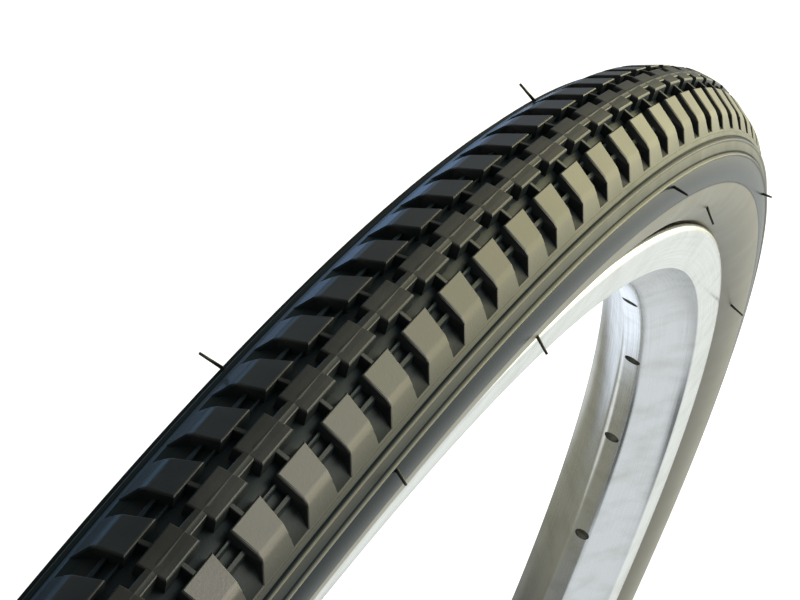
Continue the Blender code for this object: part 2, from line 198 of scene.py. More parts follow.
@dataclass(frozen=True)
class MouldedRubber(Finish):
    """Vulcanised rubber as it leaves a mould: dark, softly shining, clouded by a film of dust.

    A mesh can note painted light on each point. Above nothing, painted shade mixes in a dark blue-black and
    lowers the specular level, so the skin looks near black, while the roughness falls to the mould's polish.
    Below nothing a pale painted highlight is mixed in.
    """

    dark: str
    dusty: str
    cloud_mm: float
    grain_mm: float
    grain_depth_mm: float
    roughness: Point
    # The colour of painted shade, then the colour of painted highlight.
    clean: str = "#1f282b"
    painted_highlight_colour: str = "#a3a08e"
    # Specular level with no painted shade, and under full painted shade.
    shine: Point = (0.5, 0.08)
    polish_start: float = 0.85
    polish: float = 0.26

    def sockets(self, tree: NodeTree) -> dict[str, Any]:
        """Dust in clouds over a fine grain, with the painted shade and painted highlight that the mesh notes.

        Args:
            tree: The material's tree.

        Returns:
            The shader's inputs by name.
        """
        place = add_node(tree, "ShaderNodeTexCoord").outputs["Object"]
        clouds = add_node(tree, "ShaderNodeTexNoise", {
            "Vector": place, "Scale": per_metre(self.cloud_mm), "Detail": 5.0, "Roughness": 0.62})
        film = add_node(tree, "ShaderNodeMapRange", {"Value": clouds, "From Min": 0.38, "From Max": 0.72})
        tone = add_node(tree, "ShaderNodeMix", {
            0: film, 6: linear(self.dark), 7: linear(self.dusty)}, data_type="RGBA")
        # The mesh's painted light: painted shade above nothing, painted highlight below it.
        painted_light = add_node(tree, "ShaderNodeAttribute", attribute_name=PAINTED_LIGHT).outputs["Fac"]
        painted_highlight_share = add_node(tree, "ShaderNodeMapRange", {"Value": painted_light, "From Min": 0.0, "From Max": -1.0})
        # Mix in the painted shade colour, then the pale painted highlight colour.
        for share, colour in ((painted_light, self.clean), (painted_highlight_share, self.painted_highlight_colour)):
            tone = add_node(tree, "ShaderNodeMix", {0: share, 6: tone, 7: linear(colour)}, data_type="RGBA")
        # The specular level drops where shade is painted.
        shine = add_node(tree, "ShaderNodeMapRange", {
            "Value": painted_light, "To Min": self.shine[0], "To Max": self.shine[1]})
        gloss = add_node(tree, "ShaderNodeMapRange", {
            "Value": clouds, "From Min": 0.3, "From Max": 0.7,
            "To Min": self.roughness[0], "To Max": self.roughness[1]})
        polish = add_node(tree, "ShaderNodeMapRange", {
            "Value": painted_light, "From Min": self.polish_start, "To Min": gloss, "To Max": self.polish})
        grain = add_node(tree, "ShaderNodeTexNoise", {
            "Vector": place, "Scale": per_metre(self.grain_mm), "Detail": 2.0})
        bump = add_node(tree, "ShaderNodeBump", {
            "Height": grain, "Strength": 0.6, "Distance": self.grain_depth_mm * MM})
        return {"IOR": 1.52, "Base Color": tone, "Specular IOR Level": shine, "Roughness": polish,
                "Normal": bump}


@dataclass(frozen=True)
class BrushedAlloy(Finish):
    """Anodised aluminium brushed along the ring: pale, with streaks that run round the wheel."""

    bright: str
    worn: str
    streak_mm: Point
    roughness: Point
    streak_depth_mm: float = 0.01
    stain_mm: float = 9.0

    def sockets(self, tree: NodeTree) -> dict[str, Any]:
        """Streaks drawn out along the ring, and faint stains.

        Args:
            tree: The material's tree.

        Returns:
            The shader's inputs by name.
        """
        along = add_node(tree, "ShaderNodeUVMap", uv_map=ROUND_UV)
        scale = (per_metre(self.streak_mm[0]), per_metre(self.streak_mm[1]), 1.0)
        stretched = add_node(tree, "ShaderNodeMapping", {"Vector": along, "Scale": scale})
        streaks = add_node(tree, "ShaderNodeTexNoise", {"Vector": stretched, "Scale": 1.0, "Detail": 4.0})
        place = add_node(tree, "ShaderNodeTexCoord").outputs["Object"]
        stains = add_node(tree, "ShaderNodeTexNoise", {
            "Vector": place, "Scale": per_metre(self.stain_mm), "Detail": 4.0})
        share = add_node(tree, "ShaderNodeMapRange", {"Value": stains, "From Min": 0.45, "From Max": 0.8})
        tone = add_node(tree, "ShaderNodeMix", {
            0: share, 6: linear(self.bright), 7: linear(self.worn)}, data_type="RGBA")
        gloss = add_node(tree, "ShaderNodeMapRange", {
            "Value": streaks, "From Min": 0.3, "From Max": 0.7,
            "To Min": self.roughness[0], "To Max": self.roughness[1]})
        bump = add_node(tree, "ShaderNodeBump", {
            "Height": streaks, "Strength": 0.25, "Distance": self.streak_depth_mm * MM})
        return {"Metallic": 1.0, "Base Color": tone, "Roughness": gloss, "Normal": bump}


@dataclass(frozen=True)
class WovenCloth(Finish):
    """Cotton or nylon cloth woven square, its threads drawn twice as wide as real ones to show."""

    thread: str
    shadow: str
    thread_mm: float
    slant: float
    widened: float = 2.0
    thread_height_mm: float = 0.1

    def sockets(self, tree: NodeTree) -> dict[str, Any]:
        """Two sets of threads that cross, matt with a faint sheen.

        Args:
            tree: The material's tree.

        Returns:
            The shader's inputs by name.
        """
        along = add_node(tree, "ShaderNodeUVMap", uv_map=ROUND_UV)
        turned = add_node(tree, "ShaderNodeMapping", {"Vector": along, "Rotation": (0.0, 0.0, self.slant)})
        scale = per_metre(self.thread_mm) / (WAVE_BANDS * self.widened)
        warp, weft = (add_node(tree, "ShaderNodeTexWave", {
            "Vector": turned, "Scale": scale, "Distortion": 0.4}, bands_direction=direction).outputs["Fac"]
            for direction in ("X", "Y"))
        weave = add_node(tree, "ShaderNodeMath", {0: warp, 1: weft}, operation="MAXIMUM")
        tone = add_node(tree, "ShaderNodeMix", {
            0: weave, 6: linear(self.shadow), 7: linear(self.thread)}, data_type="RGBA")
        bump = add_node(tree, "ShaderNodeBump", {
            "Height": weave, "Strength": 0.7, "Distance": self.thread_height_mm * MM})
        return {"Roughness": 0.85, "Sheen Weight": 0.15, "Base Color": tone, "Normal": bump}


@dataclass(frozen=True)
class DrawnMetal(Finish):
    """Drawn or plated metal: an even bright skin with a faint change of tint and polish."""

    bright: str
    dull: str
    roughness: Point
    tarnish_mm: float = 2.5

    def sockets(self, tree: NodeTree) -> dict[str, Any]:
        """Soft patches of tarnish.

        Args:
            tree: The material's tree.

        Returns:
            The shader's inputs by name.
        """
        place = add_node(tree, "ShaderNodeTexCoord").outputs["Object"]
        tarnish = add_node(tree, "ShaderNodeTexNoise", {
            "Vector": place, "Scale": per_metre(self.tarnish_mm), "Detail": 4.0})
        tone = add_node(tree, "ShaderNodeMix", {
            0: tarnish, 6: linear(self.bright), 7: linear(self.dull)}, data_type="RGBA")
        gloss = add_node(tree, "ShaderNodeMapRange", {
            "Value": tarnish, "From Min": 0.3, "From Max": 0.7,
            "To Min": self.roughness[0], "To Max": self.roughness[1]})
        return {"Metallic": 1.0, "Base Color": tone, "Roughness": gloss}


@dataclass(frozen=True)
class StudioPaper(Finish):
    """A sheet of matt white paper under the wheel, with the faintest change of tone."""

    white: str
    shade: str
    glow: float = 0.8
    mottle_mm: float = 300.0

    def sockets(self, tree: NodeTree) -> dict[str, Any]:
        """A pale mottle that glows a little.

        Args:
            tree: The material's tree.

        Returns:
            The shader's inputs by name.
        """
        place = add_node(tree, "ShaderNodeTexCoord").outputs["Object"]
        mottle = add_node(tree, "ShaderNodeTexNoise", {"Vector": place, "Scale": per_metre(self.mottle_mm)})
        tone = add_node(tree, "ShaderNodeMix", {
            0: mottle, 6: linear(self.white), 7: linear(self.shade)}, data_type="RGBA")
        return {"Roughness": 0.95, "Specular IOR Level": 0.1, "Emission Color": linear(self.white),
                "Emission Strength": self.glow, "Base Color": tone}


def round_wheel(across: float, radius: float, angle: float) -> Vector:
    """A point on the wheel, in metres, from millimetres and an angle from the top."""
    return Vector((radius * sin(angle), across, radius * cos(angle))) * MM


def round_valve(height: float, radius: float, angle: float) -> Vector:
    """A point on the valve, in metres, from millimetres above its tip and off its axis."""
    return Vector((VALVE_TIP_MM + height, -radius * sin(angle), radius * cos(angle))) * MM


def new_object(name: str, mesh: Mesh, material: Material) -> Object:
    """Put a mesh into the scene with its material.

    Args:
        name: The piece's name.
        mesh: Its mesh, in the part's frame.
        material: Its finish.

    Returns:
        The new object, at the origin.
    """
    piece = bpy.data.objects.new(name, mesh)
    bpy.context.scene.collection.objects.link(piece)
    if not mesh.materials:
        mesh.materials.append(material)
    return piece


def settle(piece: Object, body: Body, slot: Slot, *nodes: str) -> Object:
    """Ride a finished piece on its body and hide the solids that it stands for.

    Args:
        piece: The finished piece.
        body: The body that carries it.
        slot: Not used; the slot that gives its finish.
        nodes: Solids that it replaces.

    Returns:
        The piece.
    """
    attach(piece, body.value)
    if nodes:
        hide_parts(*nodes)
    LOG.info("%s: %d faces on %s", piece.name, len(piece.data.polygons), body.value)
    return piece


def mesh_from(shape: bmesh.types.BMesh, name: str) -> Mesh:
    """Turn a working shape into a mesh and free the shape.

    Args:
        shape: The finished shape.
        name: The mesh's name.

    Returns:
        The mesh.
    """
    mesh = bpy.data.meshes.new(name)
    shape.to_mesh(mesh)
    shape.free()
    return mesh


def turned_mesh(name: str, outline: Sequence[Point], steps: int,
                place: Callable[[float, float, float], Vector] = round_wheel, crease: float = 32.0) -> Mesh:
    """Turn a closed outline about an axis into a closed mesh with a map along and across it.

    Args:
        name: The mesh's name.
        outline: Points (along the axis, off the axis) in millimetres.
        steps: Facets round the turn.
        place: Gives a point from a place along the axis, a radius and an angle.
        crease: Edges sharper than this many degrees stay sharp.

    Returns:
        The mesh.
    """
    area = sum(a0 * r1 - a1 * r0 for (a0, r0), (a1, r1) in zip(outline, outline[1:] + outline[:1]))
    path = outline[::-1] if area > 0 else outline
    lengths = [0.0]
    for (a0, r0), (a1, r1) in zip(path, path[1:] + path[:1]):
        lengths.append(lengths[-1] + hypot(a1 - a0, r1 - r0) * MM)
    widest = max(radius for _, radius in path) * MM
    shape = bmesh.new()
    uv = shape.loops.layers.uv.new(ROUND_UV)
    rows = [[shape.verts.new(place(along, radius, 2 * pi * i / steps)) for along, radius in path]
            for i in range(steps)]
    count = len(path)
    for i in range(steps):
        here, there = rows[i], rows[(i + 1) % steps]
        for j in range(count):
            k = (j + 1) % count
            face = shape.faces.new((here[j], there[j], there[k], here[k]))
            turns = (i, i + 1, i + 1, i)
            marks = (j, j, j + 1, j + 1)
            for loop, turn, mark in zip(face.loops, turns, marks):
                loop[uv].uv = (2 * pi * widest * turn / steps, lengths[mark])
    bmesh.ops.remove_doubles(shape, verts=shape.verts, dist=SAME_SPOT)
    bmesh.ops.dissolve_degenerate(shape, edges=shape.edges, dist=SAME_SPOT)
    mesh = mesh_from(shape, name)
    mesh.shade_smooth()
    mesh.set_sharp_from_angle(angle=radians(crease))
    return mesh


def block_mesh(name: str, corners: Sequence[Vector], faces: Sequence[Sequence[int]],
               rounded: Sequence[tuple[int, int]], width_mm: float) -> Mesh:
    """Make a small closed block and round some of its edges.

    Args:
        name: The mesh's name.
        corners: Its corners in metres.
        faces: Its faces as places in the list of corners.
        rounded: The edges to round, as pairs of corners.
        width_mm: How far the rounding reaches.

    Returns:
        The mesh, with its faces pointing out.
    """
    shape = bmesh.new()
    points = [shape.verts.new(corner) for corner in corners]
    for face in faces:
        shape.faces.new([points[i] for i in face])
    bmesh.ops.recalc_face_normals(shape, faces=shape.faces)
    wanted = {frozenset(pair) for pair in rounded}
    places = {point: i for i, point in enumerate(points)}
    edges = [edge for edge in shape.edges if frozenset(places[v] for v in edge.verts) in wanted]
    bmesh.ops.bevel(shape, geom=edges, offset=width_mm * MM, offset_type="OFFSET", segments=2,
                    profile=0.5, affect="EDGES", clamp_overlap=True)
    return mesh_from(shape, name)


def on_line(line: Sequence[Point], place: float) -> float:
    """Read a value off a broken line.

    Args:
        line: Points (place, value) in order of place.
        place: Where to read.

    Returns:
        The value there, or the last one beyond the line's end.
    """
    for (p0, v0), (p1, v1) in zip(line, line[1:]):
        if place <= p1:
            return v0 + (v1 - v0) * (place - p0) / (p1 - p0)
    return line[-1][1]


def note_painted_light(mesh: Mesh, share: Callable[[float, float], float]) -> Mesh:
    """Note on each point of a ring its painted light: painted shade or painted highlight.

    Args:
        mesh: A mesh of the tyre, in metres.
        share: Gives the painted light from a point's place across and its radius, in millimetres. It runs
            from one, full painted shade deep in a groove, through nothing down to minus one, a full pale
            painted highlight.

    Returns:
        The same mesh.
    """
    shares = [share(v.co.y / MM, hypot(v.co.x, v.co.z) / MM) for v in mesh.vertices]
    mesh.attributes.new(PAINTED_LIGHT, "FLOAT", "POINT").data.foreach_set("value", shares)
    return mesh


def both_sides(half: Sequence[Point]) -> Outline:
    """A whole outline from its left half, which is followed back on the right."""
    return [*half, *((-across, radius) for across, radius in reversed(half) if across > 1e-6)]


def rounded_corner(before: Point, corner: Point, after: Point, reaches: Point, count: int = 9) -> Outline:
    """Points that round a corner of a section.

    Args:
        before: The point before the corner.
        corner: The corner.
        after: The point after it.
        reaches: How far before the corner the rounding starts, and how far after it ends.
        count: How many points to make.

    Returns:
        The points, in order.
    """
    middle = Vector(corner)
    start, end = (middle + (Vector(point) - middle).normalized() * reach
                  for point, reach in zip((before, after), reaches))
    shares = [i / (count - 1) for i in range(count)]
    return [tuple(start * (1 - t) ** 2 + middle * 2 * t * (1 - t) + end * t ** 2) for t in shares]


def new_tree(name: str, inputs: dict[str, str]) -> NodeTree:
    """Start a Geometry Nodes tree with named inputs, a finish and one mesh output.

    Args:
        name: The tree's name.
        inputs: Kinds of socket by input name.

    Returns:
        The tree, with its input and output nodes.
    """
    tree = bpy.data.node_groups.new(name, "GeometryNodeTree")
    for label, kind in {**inputs, "Finish": "Material"}.items():
        tree.interface.new_socket(label, in_out="INPUT", socket_type="NodeSocket" + kind)
    tree.interface.new_socket("Mesh", in_out="OUTPUT", socket_type="NodeSocketGeometry")
    add_node(tree, "NodeGroupInput", name="given")
    add_node(tree, "NodeGroupOutput", name="made")
    return tree


def even_angles(tree: NodeTree) -> Node:
    """Add the nodes that give each copy its angle, at an even pitch from the first one.

    Args:
        tree: A new tree with the inputs Copies and First Angle.

    Returns:
        The node that gives the angle.
    """
    given = tree.nodes["given"].outputs
    step = add_node(tree, "ShaderNodeMath", {0: 2 * pi, 1: given["Copies"]}, operation="DIVIDE")
    index = add_node(tree, "GeometryNodeInputIndex")
    return add_node(tree, "ShaderNodeMath", {0: index, 1: step, 2: given["First Angle"]},
                    operation="MULTIPLY_ADD")


def end_tree(tree: NodeTree, result: Node) -> NodeTree:
    """Make a tree's result real, give it its finish and send it out.

    Args:
        tree: The tree to end.
        result: The node that makes its result.

    Returns:
        The tree.
    """
    real = add_node(tree, "GeometryNodeRealizeInstances", {"Geometry": result})
    finished = add_node(tree, "GeometryNodeSetMaterial", {
        "Geometry": real, "Material": tree.nodes["given"].outputs["Finish"]})
    feed(tree, tree.nodes["made"], {"Mesh": finished})
    return tree


def run_tree(piece: Object, tree: NodeTree, values: dict[str, Any]) -> Object:
    """Run a tree on a piece and keep the result as the piece's plain mesh.

    Args:
        piece: The object whose mesh goes in, and whose finish the result gets.
        tree: The tree to run.
        values: Values of its other named inputs.

    Returns:
        The piece with its new mesh and no modifier.
    """
    values = {**values, "Finish": piece.data.materials[0]}
    modifier = piece.modifiers.new(tree.name, "NODES")
    modifier.node_group = tree
    for item in tree.interface.items_tree:
        if item.in_out == "INPUT" and item.name in values:
            modifier[item.identifier] = values[item.name]
    depsgraph = bpy.context.evaluated_depsgraph_get()
    mesh = bpy.data.meshes.new_from_object(piece.evaluated_get(depsgraph), preserve_all_data_layers=True,
                                           depsgraph=depsgraph)
    piece.modifiers.clear()
    piece.data = mesh
    mesh.name = piece.name
    return piece


def copies_tree() -> NodeTree:
    """Make the tree that sets copies of a shape round the wheel's axis at an even pitch.

    Returns:
        The tree.
    """
    tree = new_tree("copies_round_wheel", {"Shape": "Geometry", "Copies": "Int", "First Angle": "Float"})
    given = tree.nodes["given"].outputs
    turn = add_node(tree, "ShaderNodeCombineXYZ", {"Y": even_angles(tree)})
    points = add_node(tree, "GeometryNodePoints", {"Count": given["Copies"]})
    return end_tree(tree, add_node(tree, "GeometryNodeInstanceOnPoints", {
        "Points": points, "Instance": given["Shape"], "Rotation": turn}))


def drilling_tree() -> NodeTree:
    """Make the tree that drills a ring of holes towards the wheel's axis, staggered left and right.

    Returns:
        The tree.
    """
    tree = new_tree("holes_round_wheel", {
        "Ring": "Geometry", "Copies": "Int", "First Angle": "Float", "Hole Radius": "Float",
        "Drill Length": "Float", "Ring Radius": "Float", "Stagger": "Float"})
    given = tree.nodes["given"].outputs
    angle = even_angles(tree)
    index = add_node(tree, "GeometryNodeInputIndex")
    odd = add_node(tree, "ShaderNodeMath", {0: index, 1: 2.0}, operation="MODULO")
    sign = add_node(tree, "ShaderNodeMath", {0: odd, 1: 2.0, 2: -1.0}, operation="MULTIPLY_ADD")
    place = {"Y": add_node(tree, "ShaderNodeMath", {0: sign, 1: given["Stagger"]}, operation="MULTIPLY")}
    for axis, function in (("X", "SINE"), ("Z", "COSINE")):
        wave = add_node(tree, "ShaderNodeMath", {0: angle}, operation=function)
        place[axis] = add_node(tree, "ShaderNodeMath", {0: wave, 1: given["Ring Radius"]},
                               operation="MULTIPLY")
    points = add_node(tree, "GeometryNodePoints", {
        "Count": given["Copies"], "Position": add_node(tree, "ShaderNodeCombineXYZ", place)})
    drill = add_node(tree, "GeometryNodeMeshCylinder", {
        "Vertices": 40, "Radius": given["Hole Radius"], "Depth": given["Drill Length"]})
    turn = add_node(tree, "ShaderNodeCombineXYZ", {"Y": angle})
    drills = add_node(tree, "GeometryNodeInstanceOnPoints", {
        "Points": points, "Instance": drill, "Rotation": turn})
    real = add_node(tree, "GeometryNodeRealizeInstances", {"Geometry": drills})
    return end_tree(tree, add_node(tree, "GeometryNodeMeshBoolean", {
        "Mesh 1": given["Ring"], "Mesh 2": real}, operation="DIFFERENCE", solver="EXACT"))


def hairs_tree() -> NodeTree:
    """Make the tree that stands a thin tapered rubber hair on each point, along its own lean.

    Returns:
        The tree.
    """
    tree = new_tree("vent_hairs", {
        "Sites": "Geometry", "Root Radius": "Float", "Tip Radius": "Float", "Seed": "Int"})
    given = tree.nodes["given"].outputs
    lean = add_node(tree, "GeometryNodeInputNamedAttribute", {"Name": LEAN}, data_type="FLOAT_VECTOR")
    reach = add_node(tree, "GeometryNodeInputNamedAttribute", {"Name": REACH}, data_type="FLOAT")
    wobble = add_node(tree, "FunctionNodeRandomValue", {2: 0.9, 3: 1.1, "Seed": given["Seed"]},
                      data_type="FLOAT")
    length = add_node(tree, "ShaderNodeMath", {0: reach, 1: wobble}, operation="MULTIPLY")
    scale = add_node(tree, "ShaderNodeCombineXYZ", {"X": 1.0, "Y": 1.0, "Z": length})
    points = add_node(tree, "GeometryNodeMeshToPoints", {"Mesh": given["Sites"]})
    hair = add_node(tree, "GeometryNodeMeshCone", {
        "Vertices": 8, "Side Segments": 2, "Radius Top": given["Tip Radius"],
        "Radius Bottom": given["Root Radius"], "Depth": 1.0})
    return end_tree(tree, add_node(tree, "GeometryNodeInstanceOnPoints", {
        "Points": points, "Instance": hair, "Rotation": lean, "Scale": scale}))


@dataclass(frozen=True)
class Oval:
    """An oval of the tyre's section, in millimetres, about its widest part."""

    half: float
    rise: float
    drop: float
    centre: float = 329.1

    def at(self, angle: float, out: float = 0.0) -> Point:
        """The point at an angle from the crown, moved out of the oval by some millimetres."""
        lift = self.rise if cos(angle) > 0 else self.drop
        return ((self.half + out) * sin(angle), self.centre + (lift + out) * cos(angle))

    def arc(self, start: float, end: float, count: int) -> Outline:
        """Points along the oval between two angles in degrees."""
        return [self.at(radians(start + (end - start) * i / (count - 1))) for i in range(count)]

    def inset(self, depth: float) -> "Oval":
        """The oval drawn in by some millimetres."""
        return Oval(self.half - depth, self.rise - depth, self.drop - depth, self.centre)


# The sidewall's outer and inner face, and where the tread ends and the bead starts on them.
SIDE_OVAL = Oval(16.2, 15.5, 15.45)
SIDE_LINING = Oval(15.3, 13.1, 14.25)
EDGE_DEGREES = 49.18
BEAD_DEGREES = 138.64


@dataclass
class Tread:
    """The rubber that meets the road: a notched centre band between two rows of shoulder blocks.

    Places along the wheel are shares of a pitch. Corners of blocks are (along, across, radius).
    """

    finish: Material
    copies: NodeTree
    pitch_count: int = 168
    first_block: float = 21.227
    ring_steps: int = 336
    crease: float = 25.0
    crown_radius: float = 346.0
    crown_curve: float = 0.015
    band_half: float = 2.5
    band_ends: Point = (-0.04, 0.64)
    band_foot: float = 343.2
    foot_spread: Point = (0.02, 0.2)
    # Half the spine, over the crown: the mould's parting line, then the rounded shoulder.
    spine_top: Line = ((0.0, 0.015), (0.055, 0.015), (0.11, -0.01), (0.85, -0.05), (1.0, -0.2))
    spine_foot: float = 1.15
    block_top: tuple[Spot, ...] = (
        (0.0, 4.62, 345.1), (0.63, 4.62, 345.1), (0.614, 9.45, 342.49), (0.066, 9.45, 342.49))
    block_foot: tuple[Spot, ...] = (
        (-0.02, 4.25, 342.7), (0.65, 4.25, 342.7), (0.64, 9.0, 339.8), (0.05, 9.0, 339.8))
    block_crease: tuple[Spot, ...] = ((0.6, 10.3, 341.74), (0.045, 10.3, 341.74))
    flare: Spot = (-0.11, 0.52, 0.58)
    flare_line: Point = (12.1, 339.46)
    block_round: float = 0.28
    bridge_ends: Point = (0.255, 0.325)
    bridge: Line = ((2.2, 345.3), (4.95, 344.7), (4.95, 342.9), (2.2, 342.9))
    tie_ends: Point = (0.56, 1.12)
    ties: tuple[Spot, ...] = ((4.85, 5.3, 1.0), (7.05, 7.75, 1.35))
    tie_foot: Point = (0.15, 0.3)
    bar_round: float = 0.12
    floor: Line = ((0.0, 343.5), (2.5, 343.5), (4.15, 342.9), (9.0, 340.0), (10.4, 339.8), (11.8, 339.55))
    edge_start: float = 47.6
    lining: Oval = Oval(15.45, 13.2, 14.25)
    # Painted shade grows with the depth below the tops, as far as its reach at that place across.
    top_line: Line = (
        (0.0, 346.0), (2.5, 345.9), (4.62, 345.1), (9.9, 342.25), (12.1, 339.46), (12.6, 338.9),
        (20.0, 330.0))
    painted_shade_depths: Point = (0.15, 1.45)
    painted_shade_reach: Line = ((0.0, 0.85), (4.8, 0.85), (5.2, 1.0), (7.6, 1.0), (10.4, 0.25), (14.0, 0.25))
    # Painted shade at any depth: on the edges beside the spine and the band, where it dims their highlights,
    # over the whole left flank, and down the right flank towards its foot.
    edge_shade: Line = (
        (0.0, 0.0), (0.8, 0.0), (0.9, 0.5), (1.1, 0.5), (1.2, 0.0),
        (2.25, 0.0), (2.4, 0.5), (4.68, 0.5), (4.85, 0.0), (20.0, 0.0))
    left_flank_shade: Line = ((0.0, 0.0), (9.9, 0.0), (10.25, 1.0), (20.0, 1.0))
    right_flank_shade: Line = ((0.0, 0.0), (9.9, 0.0), (12.1, 0.55), (13.0, 0.65), (20.0, 0.65))

    def spot(self, pitch: float, across: float, radius: float) -> Vector:
        """A point of the pattern, in metres."""
        return round_wheel(across, radius, pitch * 2 * pi / self.pitch_count)

    def crown(self, across: float) -> float:
        """The radius of the centre band's top, gently rounded from side to side."""
        return self.crown_radius - self.crown_curve * across ** 2

    def depth_share(self, across: float, radius: float) -> float:
        """How much shade is painted on a point, in the form that the mesh notes.

        Args:
            across: Its place across the tread.
            radius: Its radius.

        Returns:
            Nothing on the tops, one on the groove floors and the left flank, and part of it between.
        """
        flank = self.left_flank_shade if across > 0 else self.right_flank_shade
        across = abs(across)
        start, end = self.painted_shade_depths
        below = on_line(self.top_line, across) - radius
        deep = min(max((below - start) / (end - start), 0.0), 1.0) * on_line(self.painted_shade_reach, across)
        return max(deep, on_line(self.edge_shade, across), on_line(flank, across))

    def base_ring(self) -> None:
        """Make the ring under the pattern, from edge to edge, with the groove floors on it."""
        edge = SIDE_OVAL.arc(self.edge_start, EDGE_DEGREES, 3)
        outline = both_sides([*self.floor, *edge, *self.lining.arc(EDGE_DEGREES, 0.0, 9)])
        mesh = turned_mesh("tread_base", outline, self.ring_steps, crease=self.crease)
        note_painted_light(mesh, self.depth_share)
        settle(new_object("tread_base", mesh, self.finish), Body.WHEEL, Slot.TREAD, "tread")

    def spine(self) -> None:
        """Make the thin spine that joins the centre blocks, with the mould's parting line on it."""
        top = [(across, self.crown_radius + height) for across, height in self.spine_top]
        outline = both_sides([*top, (self.spine_foot, self.band_foot), (0.0, self.band_foot)])
        mesh = note_painted_light(turned_mesh("tread_spine", outline, self.ring_steps), self.depth_share)
        settle(new_object("tread_spine", mesh, self.finish), Body.WHEEL, Slot.TREAD)

    def ring_of(self, name: str, mesh: Mesh) -> None:
        """Set copies of one pitch's shape all round the wheel.

        Args:
            name: The piece's name.
            mesh: The shape at the first pitch.
        """
        piece = new_object(name, note_painted_light(mesh, self.depth_share), self.finish)
        run_tree(piece, self.copies, {"Copies": self.pitch_count, "First Angle": radians(self.first_block)})
        settle(piece, Body.WHEEL, Slot.TREAD)

    def centre_blocks(self) -> None:
        """Make the blocks of the centre band."""
        name = "tread_centre_blocks"
        columns = [self.band_half * share for share in (-1.0, -0.5, 0.0, 0.5, 1.0)]
        near, far = self.band_ends
        longer, wider = self.foot_spread
        wide = self.band_half + wider
        corners = [self.spot(pitch, across, self.crown(across))
                   for pitch in (near, far) for across in columns]
        corners += [self.spot(pitch, across, self.band_foot)
                    for pitch in (near - longer, far + longer) for across in (-wide, wide)]
        faces = [(i, i + 1, i + 6, i + 5) for i in range(4)]
        faces += [(0, 1, 2, 3, 4, 11, 10), (5, 6, 7, 8, 9, 13, 12), (0, 5, 12, 10), (4, 9, 13, 11),
                  (10, 11, 13, 12)]
        rounded = [(i, i + 1) for i in (0, 1, 2, 3, 5, 6, 7, 8)] + [(0, 5), (4, 9)]
        self.ring_of(name, block_mesh(name, corners, faces, rounded, self.block_round))

    def shoulder_blocks(self, side: Side) -> None:
        """Make one row of shoulder blocks, each flaring into the flank between two notches.

        Args:
            side: The side of the wheel.
        """
        name = "tread_shoulder_blocks_" + side.word
        flare = [(along, *self.flare_line) for along in self.flare]
        corners = [self.spot(along, side.value * across, radius) for along, across, radius in (
            *self.block_top, *self.block_foot, *flare, *self.block_crease)]
        faces = [(0, 1, 2, 3), (0, 1, 5, 4), (1, 2, 11, 6, 5), (0, 3, 12, 7, 4), (12, 8, 7), (3, 2, 11, 12),
                 (12, 11, 9, 8), (11, 10, 9), (11, 6, 10), (4, 5, 6, 10, 9, 8, 7)]
        rounded = [(0, 1), (1, 2), (2, 3), (0, 3), (2, 11), (3, 12), (11, 12), (9, 11), (8, 12)]
        self.ring_of(name, block_mesh(name, corners, faces, rounded, self.block_round))

    def bars(self, side: Side) -> None:
        """Make the thin bridges to the centre band and the low ties between shoulder blocks.

        Args:
            side: The side of the wheel.
        """
        rows = {"tread_bridges_": (self.bridge_ends, self.bridge)}
        wider, deeper = self.tie_foot
        for word, (inner, outer, height) in zip(("inner", "outer"), self.ties):
            low, high = on_line(self.floor, outer), on_line(self.floor, inner)
            rows["tread_ties_" + word + "_"] = (self.tie_ends, (
                (inner, high + height), (outer, low + height),
                (outer + wider, low - deeper), (inner - wider, high - deeper)))
        for word, (ends, section) in rows.items():
            name = word + side.word
            corners = [self.spot(along, side.value * across, radius)
                       for along in ends for across, radius in section]
            rounded = [(0, 4), (1, 5), (0, 1), (4, 5)]
            self.ring_of(name, block_mesh(name, corners, BOX_FACES, rounded, self.bar_round))

    def build(self) -> None:
        """Make the whole tread."""
        self.base_ring()
        self.centre_blocks()
        self.spine()
        for side in Side:
            self.shoulder_blocks(side)
            self.bars(side)


@dataclass(frozen=True)
class Ridge:
    """A raised rib, or with a height below nothing a groove, that runs round a sidewall."""

    middle: float
    half_width: float
    height: float

    def lift(self, angle: float) -> float:
        """How far it lifts the surface at an angle from the crown, in degrees."""
        off = abs(angle - self.middle) / self.half_width
        return self.height * 0.5 * (1 + cos(pi * off)) if off < 1 else 0.0


